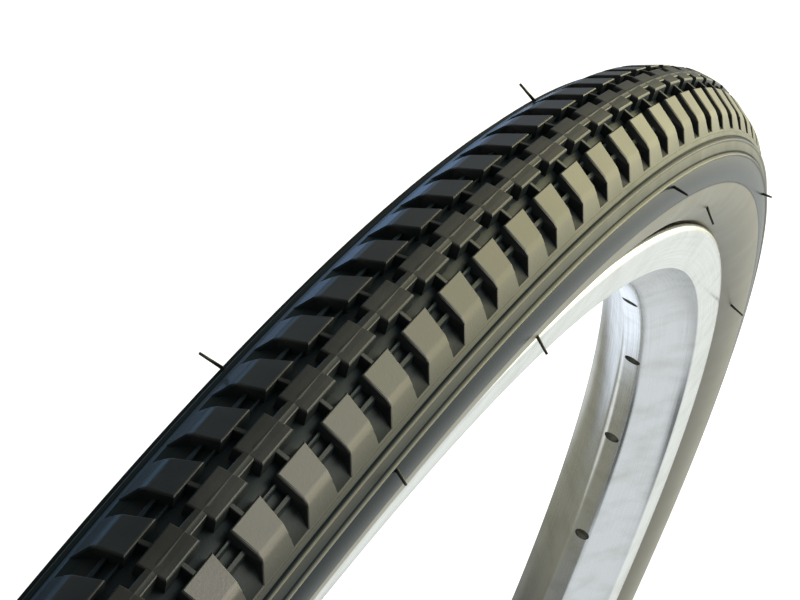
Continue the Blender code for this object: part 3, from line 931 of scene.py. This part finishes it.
@dataclass
class Sidewalls:
    """The rubber of both sides, from the tread's edge to the rim, with fine ribs and grooves."""

    finish: Material
    ring_steps: int = 336
    crease: float = 60.0
    ridges: tuple[Ridge, ...] = (
        Ridge(53.4, 1.0, -0.35), Ridge(55.6, 1.2, 0.4), Ridge(64.3, 0.9, -0.35), Ridge(66.4, 1.2, 0.4))
    # Painted light by the angle from the crown: painted shade on the bands and in the grooves above the ribs,
    # and below nothing a painted highlight on the rib tops and the lower side.
    shade: Line = (
        (49.0, 0.6), (52.5, 0.68), (53.1, 1.0), (54.5, 1.0), (54.9, -0.6), (56.3, -0.6), (56.8, 0.55),
        (63.3, 0.75), (63.9, 1.0), (65.3, 1.0), (65.7, -0.45), (67.1, -0.45), (67.6, 1.0), (87.2, 1.0),
        (88.6, -0.65), (140.0, -0.65))
    # Painted shade laid over the whole left sidewall.
    left_painted_shade: float = 0.96
    start: float = 49.3
    fine_end: float = 92.0
    fine_step: float = 0.3
    coarse_step: float = 2.5

    def outline(self) -> Outline:
        """Draw the section of the left sidewall, finely where its ribs are.

        Returns:
            The closed section.
        """
        angles = []
        angle = self.start
        while angle < BEAD_DEGREES:
            angles.append(angle)
            angle += self.fine_step if angle < self.fine_end else self.coarse_step
        angles.append(BEAD_DEGREES)
        outer = [SIDE_OVAL.at(radians(a), sum(ridge.lift(a) for ridge in self.ridges)) for a in angles]
        return outer + SIDE_LINING.arc(BEAD_DEGREES, self.start, 14)

    def darkness(self, across: float, radius: float) -> float:
        """How much light is painted on a point, in the form that the mesh notes, with painted shade over the
        whole left side.
        """
        angle = degrees(atan2(abs(across) / SIDE_OVAL.half, (radius - SIDE_OVAL.centre) / SIDE_OVAL.rise))
        return max(on_line(self.shade, angle), self.left_painted_shade if across > 0 else -1.0)

    def build(self) -> None:
        """Make both sidewalls."""
        for side in Side:
            name = "sidewall_" + side.word + "_moulded"
            mesh = turned_mesh(name, side.mirror(self.outline()), self.ring_steps, crease=self.crease)
            note_painted_light(mesh, self.darkness)
            settle(new_object(name, mesh, self.finish), Body.WHEEL, Slot.SIDEWALL, "sidewall_" + side.word)


@dataclass
class Casing:
    """The hidden layers of the tyre: breaker strip, two cord plies, beads and chafers."""

    cord: Material
    steel: Material
    rubber: Material
    ring_steps: int = 168
    ply: float = 0.6
    breaker_half: float = 8.6
    breaker_reach: float = 34.0
    breaker_ovals: tuple[Oval, Oval] = (Oval(15.45, 13.12, 14.25), Oval(15.45, 12.84, 14.25))
    outer_ply: Oval = Oval(15.15, 12.8, 13.95)
    inner_ply: Oval = Oval(14.25, 11.9, 13.05)
    outer_legs: Line = ((10.1, 312.2),)
    inner_legs: Line = ((7.3, 312.2), (7.3, 314.1))
    chafer: Line = (
        (11.0, 317.2), (11.0, 311.3), (5.8, 311.3), (5.8, 314.1), (6.4, 314.1), (6.4, 311.9), (10.4, 311.9),
        (10.4, 317.2))
    wire_middle: Point = (8.4, 313.0)
    wire_radius: float = 0.8
    wire_points: int = 12

    def ring(self, name: str, outline: Outline, finish: Material, slot: Slot, node: str) -> None:
        """Turn one layer and settle it in place of a solid."""
        mesh = turned_mesh(name, outline, self.ring_steps)
        settle(new_object(name, mesh, finish), Body.WHEEL, slot, node)

    def ply_outline(self, oval: Oval, legs: Line) -> Outline:
        """Draw the section of a ply that runs from bead to bead.

        Args:
            oval: The ply's outer oval.
            legs: Points of its outer face below the oval, from the foot up.

        Returns:
            The closed section.
        """
        outer = both_sides([*legs, *oval.arc(BEAD_DEGREES, 0.0, 24)])
        inner_legs = [(across - self.ply, radius) for across, radius in legs]
        inner = both_sides(inner_legs + oval.inset(self.ply).arc(BEAD_DEGREES, 0.0, 24))
        return outer + inner[::-1]

    def build(self) -> None:
        """Make every hidden layer."""
        above, below = ([point for point in oval.arc(0.0, self.breaker_reach, 12)
                         if point[0] <= self.breaker_half] for oval in self.breaker_ovals)
        self.ring("breaker_cloth", both_sides(above + below[::-1]), self.cord, Slot.CORD, "breaker_strip")
        for word, oval, legs in (("outer", self.outer_ply, self.outer_legs),
                                 ("inner", self.inner_ply, self.inner_legs)):
            self.ring("ply_cloth_" + word, self.ply_outline(oval, legs), self.cord, Slot.CORD,
                      "casing_" + word + "_ply")
        across, radius = self.wire_middle
        turns = [2 * pi * i / self.wire_points for i in range(self.wire_points)]
        circle = [(across + self.wire_radius * cos(turn), radius + self.wire_radius * sin(turn))
                  for turn in turns]
        for side in Side:
            self.ring("bead_hoop_" + side.word, side.mirror(circle), self.steel, Slot.BEAD,
                      "bead_wire_" + side.word)
            self.ring("bead_chafer_" + side.word, side.mirror(self.chafer), self.rubber, Slot.SIDEWALL,
                      "chafer_" + side.word)


@dataclass
class Rim:
    """The single-wall alloy rim with its spoke holes, and the cloth tape in its well."""

    alloy: Material
    cloth: Material
    drilling: NodeTree
    ring_steps: int = 360
    crease: float = 28.0
    lip_middle: Point = (12.55, 315.9)
    lip_half: Point = (1.25, 2.2)
    lip_steps: int = 14
    waist: Point = (12.8, 307.9)
    waist_reaches: Point = (0.4, 0.25)
    kink: Point = (9.5, 306.7)
    kink_reaches: Point = (3.1, 6.0)
    bed_edge: Point = (2.8, 299.8)
    bed_reaches: Point = (1.3, 1.3)
    inside: Line = ((0.0, 301.8), (2.8, 301.8), (6.0, 305.0), (6.0, 311.0), (11.3, 311.0))
    drill_ring: float = 302.3
    drill_length: float = 12.0
    spoke_count: int = 36
    spoke_start: float = 185.0
    spoke_hole: float = 2.1
    spoke_stagger: float = 0.4
    valve_angle: float = 270.0
    valve_hole: float = 4.15
    tape: Line = ((0.0, 302.1), (2.68, 302.1), (4.0, 303.42), (4.0, 304.41), (2.39, 302.8), (0.0, 302.8))
    tape_steps: int = 168

    def outline(self) -> Outline:
        """Draw the rim's section, with a half-round lip and rounded corners outside.

        Returns:
            The closed section.
        """
        across, radius = self.lip_middle
        wide, high = self.lip_half
        turns = [pi * i / self.lip_steps for i in range(self.lip_steps + 1)]
        lip = [(across - wide * cos(turn), radius + high * sin(turn)) for turn in turns]
        bed = (0.0, self.bed_edge[1])
        outside = [*rounded_corner(lip[-1], self.waist, self.kink, self.waist_reaches),
                   *rounded_corner(self.waist, self.kink, self.bed_edge, self.kink_reaches),
                   *rounded_corner(self.kink, self.bed_edge, bed, self.bed_reaches)]
        return both_sides([*self.inside, *lip, *outside, bed])

    def drill(self, piece: Object, holes: int, start: float, radius: float, stagger: float = 0.0) -> None:
        """Drill holes through the bed.

        Args:
            piece: The ring to drill.
            holes: How many.
            start: The first hole's angle in degrees.
            radius: The holes' radius in millimetres.
            stagger: How far they sit left and right of the middle.
        """
        run_tree(piece, self.drilling, {
            "Copies": holes, "First Angle": radians(start), "Hole Radius": radius * MM,
            "Drill Length": self.drill_length * MM, "Ring Radius": self.drill_ring * MM,
            "Stagger": stagger * MM})

    def build(self) -> None:
        """Make the rim and its tape."""
        rim = new_object("rim_alloy", turned_mesh("rim_alloy", self.outline(), self.ring_steps), self.alloy)
        self.drill(rim, self.spoke_count, self.spoke_start, self.spoke_hole, self.spoke_stagger)
        self.drill(rim, 1, self.valve_angle, self.valve_hole)
        rim.data.set_sharp_from_angle(angle=radians(self.crease))
        settle(rim, Body.WHEEL, Slot.RIM, "rim")
        strip = turned_mesh("rim_tape_strip", both_sides(self.tape), self.tape_steps)
        tape = new_object("rim_tape_strip", strip, self.cloth)
        self.drill(tape, 1, self.valve_angle, self.valve_hole)
        settle(tape, Body.WHEEL, Slot.TAPE, "rim_tape")


@dataclass
class InnerTube:
    """The butyl tube inside the tyre and the rubber base that joins the valve to it."""

    finish: Material
    ring_steps: int = 168
    outer: Oval = Oval(13.35, 11.0, 12.15)
    wall: float = 1.0
    neck: Line = ((5.3, 306.61), (5.5, 314.4))

    def loop(self, inset: float) -> Outline:
        """Draw the tube's section.

        Args:
            inset: How far it is drawn in, in millimetres.

        Returns:
            The closed section.
        """
        (low, foot), (high, shoulder) = self.neck
        neck = [(low - inset, foot + inset), (high - inset, shoulder + inset / 2)]
        return both_sides(neck + self.outer.inset(inset).arc(BEAD_DEGREES, 0.0, 20))

    def build(self) -> None:
        """Make the tube as a hollow ring, and finish the valve's base."""
        skin = turned_mesh("tube_butyl", self.loop(0.0), self.ring_steps)
        hollow = turned_mesh("tube_hollow", self.loop(self.wall), self.ring_steps)
        hollow.flip_normals()
        shape = bmesh.new()
        shape.from_mesh(skin)
        shape.from_mesh(hollow)
        shape.to_mesh(skin)
        shape.free()
        bpy.data.meshes.remove(hollow)
        settle(new_object("tube_butyl", skin, self.finish), Body.WHEEL, Slot.BUTYL, "inner_tube")
        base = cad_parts["valve_patch"]
        base.data.materials.clear()
        base.data.materials.append(self.finish)


@dataclass
class Valve:
    """The car-type valve: threaded stem, core, spring and a ribbed screw cap with its washer.

    Sections are points (above the tip, off the axis) in millimetres.
    """

    brass: Material
    steel: Material
    rubber: Material
    plastic: Material
    copies: NodeTree
    steps: int = 40
    pitch: float = 0.794
    thread_end: float = -13.0
    thread_depth: float = 0.42
    # Shares of a pitch where the thread's crest ends, and where its root starts and ends.
    thread_turns: Spot = (0.2, 0.5, 0.7)
    stem_radius: float = 3.85
    stem_bore: float = 2.65
    stem_foot: float = -35.8
    tip_chamfer: float = 0.3
    tip_radius: float = 3.4
    barrel: Line = (
        (-0.4, 2.2), (-0.6, 2.35), (-12.4, 2.35), (-12.4, 0.9), (-10.4, 0.9), (-10.4, 1.75), (-0.4, 1.75))
    pin: Line = (
        (-0.2, 0.0), (-0.2, 0.55), (-0.45, 0.8), (-1.2, 0.8), (-1.2, 1.4), (-2.0, 1.4), (-2.0, 0.8),
        (-15.0, 0.8), (-15.0, 0.0))
    cup: Line = ((-12.7, 0.9), (-12.7, 1.9), (-12.9, 2.1), (-14.1, 2.1), (-14.3, 1.9), (-14.3, 0.9))
    spring_radius: float = 1.35
    spring_wire: float = 0.25
    spring_ends: Point = (-2.55, -9.85)
    spring_turns: int = 4
    spring_steps: int = 24
    spring_sides: int = 8
    pin_travel: float = 1.5
    cap_bore: float = 4.15
    cap_skin: float = 4.9
    cap_radius: float = 5.25
    cap_end: float = 2.5
    cap_seat: float = 1.3
    cap_skirt: float = -7.5
    cap_ribs: int = 24
    rib_half: float = 0.32
    rib_low: float = -6.9
    rib_high: float = 1.5
    rib_slope: float = 0.35
    rib_sunk: float = 0.2
    rib_round: float = 0.08
    washer: Line = ((0.3, 0.0), (0.3, 3.7), (0.45, 3.85), (0.85, 3.85), (1.0, 3.7), (1.0, 0.0))

    def turned(self, name: str, section: Sequence[Point], finish: Material, body: Body, slot: Slot,
               node: str) -> None:
        """Turn one piece of the valve about its axis and settle it in place of a solid."""
        mesh = turned_mesh(name, section, self.steps, round_valve)
        settle(new_object(name, mesh, finish), body, slot, node)

    def stem(self) -> None:
        """Make the stem, with ring grooves for the cap's thread."""
        crest, root = self.stem_radius, self.stem_radius - self.thread_depth
        crest_end, root_start, root_end = (share * self.pitch for share in self.thread_turns)
        height = -self.tip_chamfer
        section = [(0.0, self.tip_radius)]
        while height > self.thread_end:
            section += [(height, crest), (height - crest_end, crest), (height - root_start, root),
                        (height - root_end, root)]
            height -= self.pitch
        section += [(height, crest), (self.stem_foot, crest), (self.stem_foot, self.stem_bore),
                    (-self.tip_chamfer, self.stem_bore), (0.0, self.stem_bore + self.tip_chamfer)]
        self.turned("valve_stem_threaded", section, self.brass, Body.WHEEL, Slot.BRASS, "valve_stem")

    def core(self) -> None:
        """Make the core's barrel, pin, cup and spring."""
        self.turned("core_barrel_turned", self.barrel, self.brass, Body.WHEEL, Slot.BRASS, "core_barrel")
        self.turned("core_pin_turned", self.pin, self.brass, Body.VALVE_PIN, Slot.BRASS, "core_pin")
        self.turned("core_cup_moulded", self.cup, self.rubber, Body.VALVE_PIN, Slot.BUTYL, "core_cup")
        self.spring()

    def spring(self) -> None:
        """Make the coil spring at rest; the real one shortens as the pin is pressed, but this one keeps its
        length.
        """
        name = "core_spring_coil"
        top, bottom = self.spring_ends
        count, sides, wire = self.spring_turns * self.spring_steps, self.spring_sides, self.spring_wire
        section = [(wire * sin(2 * pi * j / sides), wire * cos(2 * pi * j / sides)) for j in range(sides)]
        shape = bmesh.new()
        rows = []
        for i in range(count + 1):
            turn = 2 * pi * self.spring_turns * i / count
            height = top + (bottom - top) * i / count
            rows.append([shape.verts.new(round_valve(height + up, self.spring_radius + out, turn))
                         for up, out in section])
        for here, there in zip(rows, rows[1:]):
            for j in range(sides):
                shape.faces.new((here[j], here[j - 1], there[j - 1], there[j]))
        shape.faces.new(rows[0])
        shape.faces.new(rows[-1])
        bmesh.ops.recalc_face_normals(shape, faces=shape.faces)
        mesh = mesh_from(shape, name)
        mesh.shade_smooth()
        piece = settle(new_object(name, mesh, self.steel), Body.WHEEL, Slot.SPRING, "core_spring")
        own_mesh(piece)

    def cap(self) -> None:
        """Make the ribbed cap and its washer."""
        end, skirt, skin, widest = self.cap_end, self.cap_skirt, self.cap_skin, self.cap_radius
        section = [(end, 0.0), (end, skin - 1.0), (end - 0.25, skin - 0.35), (end - 0.8, skin),
                   (skirt + 0.9, skin), (skirt + 0.8, widest), (skirt + 0.15, widest), (skirt, widest - 0.15),
                   (skirt, self.cap_bore), (self.cap_seat, self.cap_bore), (self.cap_seat, 0.0)]
        self.turned("dust_cap_moulded", section, self.plastic, Body.CAP, Slot.CAP, "dust_cap")
        self.cap_rib_row()
        self.turned("cap_washer_cut", self.washer, self.rubber, Body.CAP_WASHER, Slot.BUTYL, "cap_gasket")

    def cap_rib_row(self) -> None:
        """Make the finger ribs round the cap, about the wheel's axis first, and lay them on the valve's."""
        name = "dust_cap_ribs"
        foot, top = self.cap_skin - self.rib_sunk, self.cap_radius
        corners = []
        for at_foot, at_top in ((self.rib_low, self.rib_low),
                                (self.rib_high + self.rib_slope, self.rib_high - self.rib_slope)):
            corners += [Vector((across * self.rib_half, height, out)) * MM for across, height, out in (
                (-1.0, at_foot, foot), (1.0, at_foot, foot), (0.5, at_top, top), (-0.5, at_top, top))]
        mesh = block_mesh(name, corners, BOX_FACES, [(2, 6), (3, 7), (6, 7)], self.rib_round)
        ribs = new_object(name, mesh, self.plastic)
        run_tree(ribs, self.copies, {"Copies": self.cap_ribs, "First Angle": 0.0})
        lay_down = Matrix.Translation((VALVE_TIP_MM * MM, 0.0, 0.0)) @ Matrix.Rotation(-pi / 2, 4, "Z")
        ribs.data.transform(lay_down)
        settle(ribs, Body.CAP, Slot.CAP)

    def build(self) -> None:
        """Make the whole valve."""
        self.stem()
        self.core()
        self.cap()


@dataclass
class VentHairs:
    """Thin rubber hairs left standing where the mould's vents were."""

    finish: Material
    hairs: NodeTree
    root_radius: float = 0.32
    tip_radius: float = 0.24
    # Angle, across and radius of the root, lean along the wheel, outwards and across, and length.
    seen: tuple[tuple[float, ...], ...] = (
        (27.04, 15.16, 335.49, -0.57, 0.61, 0.54, 5.1), (47.87, 13.48, 338.1, -0.64, 0.48, 0.61, 4.9),
        (49.24, -15.33, 334.12, -0.63, 0.14, -0.76, 4.7), (59.26, -15.08, 323.44, -0.09, -0.65, -0.76, 4.1),
        (71.96, -15.53, 333.5, 0.09, 0.15, -0.98, 1.9), (37.03, -16.07, 327.12, -0.28, -0.44, -0.85, 3.8),
        (27.21, -15.27, 334.25, -0.72, 0.34, -0.61, 4.8), (83.92, -14.68, 322.56, -0.48, -0.34, -0.81, 4.7))
    # The first angle, the end and the step of those on the rest of the wheel.
    unseen: tuple[int, int, int] = (124, 376, 36)
    unseen_place: float = 70.0
    unseen_lean: Spot = (0.3, 0.3, 0.9)
    unseen_length: float = 4.0
    sunk: float = 0.5
    seed: int = 7

    def sites(self) -> list[tuple[float, ...]]:
        """List where hairs stand.

        Returns:
            Rows in the form of those that are seen.
        """
        across, radius = SIDE_OVAL.at(radians(self.unseen_place))
        along, out, sideways = self.unseen_lean
        rest = [(float(angle), side.value * across, radius, along, out, side.value * sideways,
                 self.unseen_length) for angle in range(*self.unseen) for side in Side]
        return [*self.seen, *rest]

    def build(self) -> None:
        """Stand the hairs on their sites."""
        mesh = bpy.data.meshes.new("vent_hairs")
        roots, leans, reaches = [], [], []
        for angle, across, radius, along, out, sideways, length in self.sites():
            turn = Matrix.Rotation(radians(angle), 3, "Y")
            direction = turn @ Vector((along, sideways, out)).normalized()
            roots.append(round_wheel(across, radius, radians(angle)) - direction * self.sunk * MM)
            leans += direction.to_track_quat("Z", "Y").to_euler()
            reaches.append((length + self.sunk) * MM)
        mesh.from_pydata(roots, [], [])
        mesh.attributes.new(LEAN, "FLOAT_VECTOR", "POINT").data.foreach_set("vector", leans)
        mesh.attributes.new(REACH, "FLOAT", "POINT").data.foreach_set("value", reaches)
        piece = new_object("vent_hairs", mesh, self.finish)
        run_tree(piece, self.hairs, {
            "Root Radius": self.root_radius * MM, "Tip Radius": self.tip_radius * MM, "Seed": self.seed})
        piece.data.shade_smooth()
        settle(piece, Body.WHEEL, Slot.SIDEWALL)


@dataclass
class Studio:
    """Pale floor, soft light and the camera of the portrait."""

    paper: Material
    floor_height: float = -0.3475
    floor_half: float = 30.0
    camera_place: Spot = (0.005966, -0.093869, 0.73371)
    camera_turn: Spot = (23.9427, -1.2504, -58.7259)
    lens: float = 142.0157
    sensor: float = 36.0
    nearest: float = 0.01
    lamp_place: Spot = (1.5, -1.5, 0.8)
    lamp_target: Spot = (0.15, 0.0, 0.15)
    lamp_size: float = 0.9
    lamp_watts: float = 25.0
    lamp_colour: str = "#fff3df"
    sky_dim: tuple[str, float] = ("#f2f4ee", 0.27)
    # Patches of sky, each over the one before: colour, brightness, and the edges (axis, start, end) that
    # fade it in.
    sky_patches: tuple[tuple[str, float, tuple[tuple[str, float, float], ...]], ...] = (
        ("#dcdac2", 0.4, (("X", 0.1, -0.1), ("Y", -0.08, 0.02), ("Z", -0.5, -0.7))),
        ("#eef2f4", 0.95, (("Y", 0.02, -0.2), ("Z", 0.1, -0.3))),
        ("#f2f4ee", 0.1, (("Y", 0.58, 0.7),)),
        ("#9dc2f2", 1.3, (
            ("Y", 0.25, 0.45), ("Y", 0.66, 0.52), ("Z", -0.5, -0.66), ("X", 0.1, 0.3), ("X", 0.72, 0.58))),
        ("#8fbfe8", 2.6, (
            ("Y", 0.62, 0.72), ("Z", -0.22, -0.34), ("Z", -0.54, -0.42), ("X", 0.25, 0.42),
            ("X", 0.7, 0.58))),
        ("#e4ecf6", 1.5, (("X", -0.34, -0.12), ("Y", -0.08, 0.02), ("Y", 0.34, 0.24), ("Z", -0.7, -0.86))),
        ("#e4ecf6", 1.4, (("X", 0.02, 0.16), ("Y", 0.2, 0.3), ("Z", -0.8, -0.88))),
        ("#f4f6f4", 1.1, (
            ("X", -0.1, -0.25), ("X", -0.58, -0.42), ("Y", 0.17, 0.27), ("Y", 0.48, 0.38),
            ("Z", -0.6, -0.8))),
        ("#5a605a", 0.35, (("X", -0.25, -0.35), ("Y", -0.34, -0.24), ("Y", 0.02, -0.1), ("Z", -0.6, -0.8))),
        ("#edfbf8", 2.5, (("X", 0.45, 0.85), ("Y", 0.1, -0.35))),
        ("#fbf3c0", 4.3, (("X", 0.45, 0.85), ("Y", 0.15, -0.2), ("Z", 0.35, -0.1))),
        ("#f2f6f0", 1.07, (("X", 0.12, 0.3), ("X", 0.6, 0.45), ("Y", 0.25, 0.0), ("Z", -0.7, -0.85))))

    def floor(self) -> None:
        """Lay the floor, which neither shows in the metal nor lights the wheel."""
        shape = bmesh.new()
        bmesh.ops.create_grid(shape, x_segments=4, y_segments=4, size=self.floor_half,
                              matrix=Matrix.Translation((0, 0, self.floor_height)))
        floor = new_object("studio_floor", mesh_from(shape, "studio_floor"), self.paper)
        floor.visible_glossy = False
        floor.visible_diffuse = False

    def lamp(self) -> None:
        """Hang the soft lamp that faces the wheel's top."""
        data = bpy.data.lights.new("key_lamp", "AREA")
        data.shape = "SQUARE"
        data.size = self.lamp_size
        data.energy = self.lamp_watts
        data.color = linear(self.lamp_colour)[:3]
        lamp = bpy.data.objects.new("key_lamp", data)
        lamp.location = self.lamp_place
        facing = Vector(self.lamp_target) - Vector(self.lamp_place)
        lamp.rotation_euler = facing.to_track_quat("-Z", "Y").to_euler()
        bpy.context.scene.collection.objects.link(lamp)

    def sky(self) -> None:
        """Fill the surroundings with a dim tone, and bright and blue patches for the wheel to mirror."""
        world = bpy.data.worlds.new("studio_surround")
        world.use_nodes = True
        tree = world.node_tree
        looking = add_node(tree, "ShaderNodeTexCoord").outputs["Generated"]
        parts = add_node(tree, "ShaderNodeSeparateXYZ", {"Vector": looking}).outputs
        dim, strength = self.sky_dim
        tone = tuple(part * strength for part in linear(dim))
        for colour, gain, edges in self.sky_patches:
            share = 1.0
            for axis, start, end in edges:
                edge = add_node(tree, "ShaderNodeMapRange", {
                    "Value": parts[axis], "From Min": start, "From Max": end},
                    interpolation_type="SMOOTHSTEP")
                share = add_node(tree, "ShaderNodeMath", {0: edge, 1: share}, operation="MULTIPLY")
            bright = tuple(part * gain for part in linear(colour))
            tone = add_node(tree, "ShaderNodeMix", {0: share, 6: tone, 7: bright}, data_type="RGBA")
        feed(tree, tree.nodes["Background"], {"Color": tone})
        bpy.context.scene.world = world

    def camera(self) -> None:
        """Set the camera where the portrait was taken from."""
        data = bpy.data.cameras.new("portrait_camera")
        data.lens = self.lens
        data.sensor_width = self.sensor
        data.clip_start = self.nearest
        camera = bpy.data.objects.new("portrait_camera", data)
        camera.location = self.camera_place
        camera.rotation_euler = Euler([radians(turn) for turn in self.camera_turn])
        bpy.context.scene.collection.objects.link(camera)
        bpy.context.scene.camera = camera

    def build(self) -> None:
        """Make the floor, the light and the camera."""
        self.floor()
        self.sky()
        self.lamp()
        self.camera()
        bpy.context.scene.view_settings.view_transform = "Standard"


def main() -> None:
    """Build every piece in order."""
    logging.basicConfig(level=logging.INFO, format="%(name)s %(message)s")
    # Carbon-black rubber straight from a steel mould: near black, a soft sheen at low angles, dusty patches.
    tread_rubber = MouldedRubber(
        "moulded_tread_rubber", "#252623", "#363734", 14.0, 0.5, 0.03, (0.36, 0.44)).build()
    # The same rubber on the side, a little greyer and duller, because wax and dust bloom on it.
    side_rubber = MouldedRubber(
        "moulded_sidewall_rubber", "#272824", "#3a3b35", 9.0, 0.4, 0.03, (0.36, 0.46)).build()
    # Butyl is the dullest of the rubbers, with a talc bloom.
    butyl = MouldedRubber("butyl_sheet_rubber", "#242424", "#3a3a3a", 20.0, 0.6, 0.02, (0.55, 0.75)).build()
    # Satin aluminium: pale and cool, its streaks drawn four times as wide as real brushing so that they show.
    alloy = BrushedAlloy("brushed_aluminium", "#dfe1e2", "#c9cac6", (60.0, 0.35), (0.16, 0.3)).build()
    # Rubbered nylon cord laid on the slant: tan, with a ribbed look.
    cord = WovenCloth("rubbered_nylon_cord", "#8d7f63", "#5b4f3a", 0.8, radians(45.0)).build()
    # Cotton tape, woven square: pale grey and matt.
    cotton = WovenCloth("woven_cotton_tape", "#b8b2a6", "#7f796e", 0.9, 0.0).build()
    # Drawn steel hoop: grey with a warm cast.
    steel = DrawnMetal("drawn_bead_steel", "#b9b3a6", "#958f83", (0.3, 0.45)).build()
    # Spring wire drawn bright: a clean, even grey.
    spring = DrawnMetal("bright_spring_steel", "#cfcfcf", "#aaaaaa", (0.22, 0.35)).build()
    # Nickel over brass: a warm silver, polished with dull patches.
    brass = DrawnMetal("nickelled_brass_plate", "#d8cdb0", "#b9a878", (0.2, 0.38)).build()
    # Moulded nylon: black, faintly grained, with a satin shine.
    nylon = MouldedRubber("moulded_black_nylon", "#1d1d1e", "#282829", 6.0, 0.3, 0.02, (0.34, 0.46)).build()
    # Matt paper: an even white without a mirror image.
    paper = StudioPaper("matt_white_paper", "#fbfbfa", "#f4f4f2").build()

    copies = copies_tree()
    Tread(tread_rubber, copies).build()
    Sidewalls(side_rubber).build()
    Casing(cord, steel, side_rubber).build()
    InnerTube(butyl).build()
    Rim(alloy, cotton, drilling_tree()).build()
    Valve(brass, spring, butyl, nylon, copies).build()
    VentHairs(side_rubber, hairs_tree()).build()
    Studio(paper).build()


if __name__ == "__main__":
    main()
